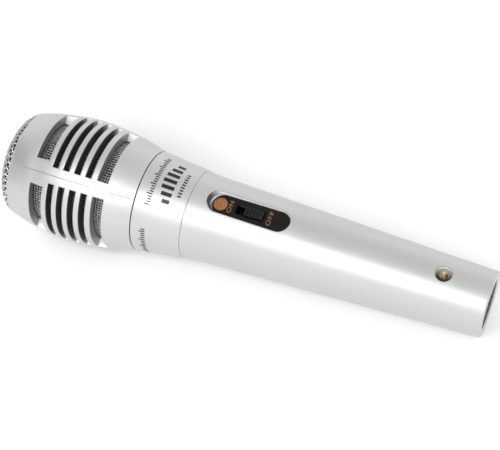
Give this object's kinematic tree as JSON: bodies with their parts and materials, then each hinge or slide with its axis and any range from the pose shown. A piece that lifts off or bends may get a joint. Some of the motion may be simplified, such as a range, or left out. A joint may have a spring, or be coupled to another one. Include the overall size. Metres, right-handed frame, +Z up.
{
  "type": "dynamic microphone",
  "caption": "Handheld vocal microphone with a slotted bulbous head, wire mesh front, tapered handle, sliding on/off switch and a round tail socket.",
  "frame": {"origin": "on the ground under the middle of the microphone as it lies on its head and tail rim", "axes": "+X towards the tail, -X towards the head, +Z up; the on/off switch faces up, leaning towards -Y"},
  "size_m": [0.2158, 0.0538, 0.054],
  "materials": {
    "silver_paint": "moulded plastic with satin silver paint, fine metallic grain",
    "black_plastic": "moulded black plastic",
    "orange_mark": "orange disc",
    "knob_plastic": "ribbed black plastic",
    "slider_plastic": "natural white plastic",
    "steel": "plain steel",
    "wire_mesh": "nickel-plated woven wire",
    "nickel": "nickel plate",
    "brass": "plain brass",
    "rubber": "black rubber",
    "foam": "open-cell black foam",
    "magnet_black": "sintered magnet",
    "coil_wire": "copper-clad aluminium wire",
    "film": "thin clear polyester film",
    "lead_red": "red wire insulation",
    "lead_black": "black wire insulation"
  },
  "bodies": {
    "handle": {"handle_shell": "silver_paint", "collar_ring": "silver_paint", "neck_tube": "steel", "ballast_tube": "steel", "switch_plate": "black_plastic", "indicator_dot": "orange_mark", "switch_body": "steel", "switch_terminal_1": "nickel", "switch_terminal_2": "nickel", "switch_terminal_3": "nickel", "xlr_insert": "black_plastic", "xlr_pin_1": "nickel", "xlr_pin_2": "nickel", "xlr_pin_3": "nickel", "ground_tag": "brass", "tail_screw": "nickel", "shock_mount": "rubber", "capsule_housing": "black_plastic", "capsule_cap": "black_plastic", "pole_cup": "steel", "magnet": "magnet_black", "top_plate": "steel", "diaphragm_surround": "film", "capsule_terminal_hot": "brass", "capsule_terminal_cold": "brass", "capsule_lead_hot": "lead_red", "capsule_lead_cold": "lead_black", "socket_lead": "lead_red"},
    "thread": {"head_gasket": "rubber"},
    "head": {"grille_cage": "silver_paint", "head_thread_insert": "brass", "mesh_sleeve": "wire_mesh", "mesh_dome": "wire_mesh", "dome_retaining_ring": "steel", "foam_windscreen": "foam"},
    "switch": {"switch_knob": "knob_plastic", "switch_slider": "slider_plastic"},
    "diaphragm": {"voice_coil": "coil_wire", "diaphragm_dome": "film"}
  },
  "joints": [
    {"name": "switch_slide", "type": "slide", "parent": "handle", "child": "switch", "axis": [-0.9974, 0, 0.0725], "range_m": [0, 0.0034]},
    {"name": "head_unscrew", "type": "hinge", "parent": "handle", "child": "thread", "pos_m": [-0.04215, 0, 0.02471], "axis": [-0.9974, 0, 0.0725], "range_deg": [0, 1260]},
    {"name": "head_rise", "type": "slide", "parent": "thread", "child": "head", "axis": [-0.9974, 0, 0.0725], "range_m": [0, 0.007]},
    {"name": "diaphragm_travel", "type": "slide", "parent": "handle", "child": "diaphragm", "axis": [-0.9974, 0, 0.0725], "range_m": [-0.0003, 0.0003], "stiffness_N_per_m": 300}
  ],
  "couplings": [
    {"joint": "head_rise", "follows": "head_unscrew", "m_per_rad": 0.0003183}
  ]
}
